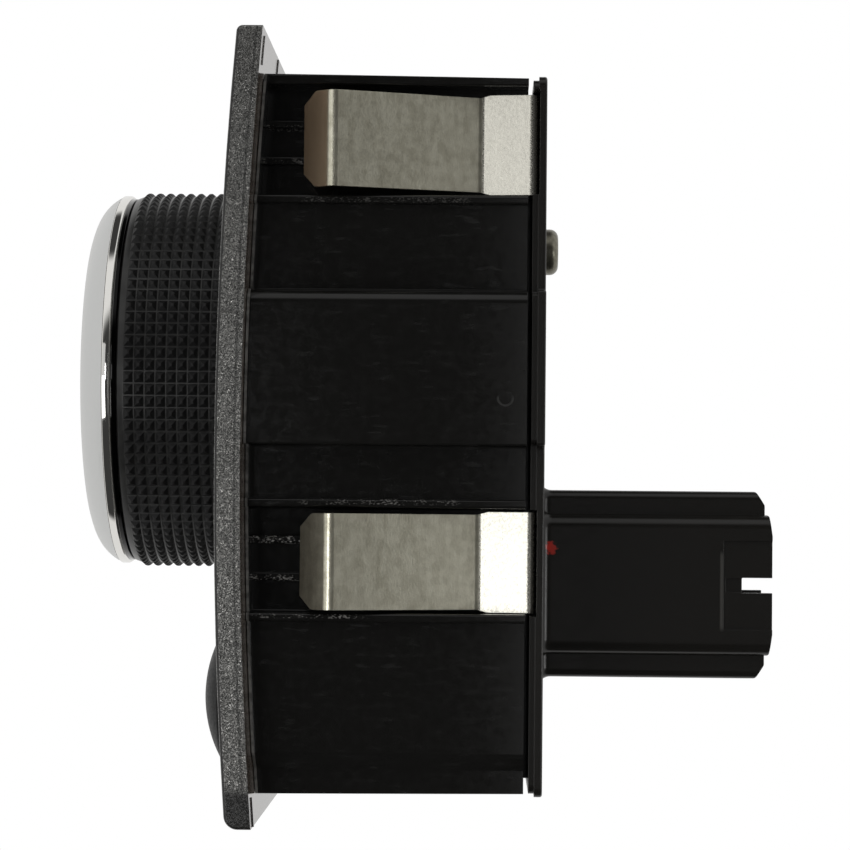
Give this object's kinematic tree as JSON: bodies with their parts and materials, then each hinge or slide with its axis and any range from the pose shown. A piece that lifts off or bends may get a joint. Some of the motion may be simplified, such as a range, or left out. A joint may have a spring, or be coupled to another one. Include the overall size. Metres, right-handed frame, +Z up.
{
  "type": "four wheel drive switch",
  "caption": "Dashboard four wheel drive switch: a knurled rotary knob and a push button on an arched faceplate, a stepped housing with side spring clips, and a rear connector.",
  "frame": {"origin": "on the knob's axis, 1 mm in front of the panel's face, which meets the ribs near the faceplate's upper and lower ends", "axes": "+Z up, +Y to the rear along the knob's axis, with the knob facing -Y and the connector +Y"},
  "size_m": [0.074, 0.0793, 0.0857],
  "materials": {
    "plate_grey": "satin charcoal with a fine metallic grain",
    "case_black": "smooth semi-gloss black moulding",
    "cover_black": "satin black moulding",
    "spring_steel": "satin stainless strip",
    "satin_chrome": "satin plated face with a bright band",
    "grip_rubber": "matt black with moulded pyramids",
    "cap_black": "semi-gloss black",
    "hub_grey": "matt dark grey",
    "clear_plastic": "clear acrylic",
    "white_plastic": "natural white acetal",
    "contact_metal": "tinned brass",
    "silicone": "grey silicone",
    "board_green": "green solder mask",
    "screw_steel": "dark plated steel",
    "chip_black": "moulded black",
    "chip_parts_tan": "ceramic and resin",
    "lamp_white": "white lamp body"
  },
  "bodies": {
    "case": {"faceplate": "plate_grey", "housing": "case_black", "rear_cover": "cover_black", "clip_upper_right": "spring_steel", "clip_upper_left": "spring_steel", "clip_lower_right": "spring_steel", "clip_lower_left": "spring_steel", "circuit_board": "board_green", "terminal_pins": "contact_metal", "pin_header": "case_black", "cover_screw": "screw_steel", "board_screws": "screw_steel", "controller_chip": "chip_black", "chip_parts": "chip_parts_tan", "lamps": "lamp_white", "detent_spring": "spring_steel", "switch_dome": "silicone"},
    "knob": {"knob_ring": "satin_chrome", "knob_grip": "grip_rubber", "knob_cap": "cap_black", "knob_hub": "hub_grey", "pointer_light_guide": "clear_plastic", "thrust_washer": "white_plastic", "shaft_retaining_ring": "spring_steel", "detent_wheel": "white_plastic", "contact_rotor": "hub_grey", "contact_brush": "contact_metal"},
    "button": {"button_cap": "cap_black", "button_plunger": "white_plastic"}
  },
  "joints": [
    {"name": "knob_turn", "type": "hinge", "parent": "case", "child": "knob", "pos_m": [0, 0, 0], "axis": [0, 1, 0], "range_deg": [0, 108], "deforming": ["detent_spring"]},
    {"name": "button_press", "type": "slide", "parent": "case", "child": "button", "axis": [0, 1, 0], "range_m": [0, 0.0018], "stiffness_N_per_m": 1200, "springref_m": -0.0015, "deforming": ["switch_dome"]}
  ]
}
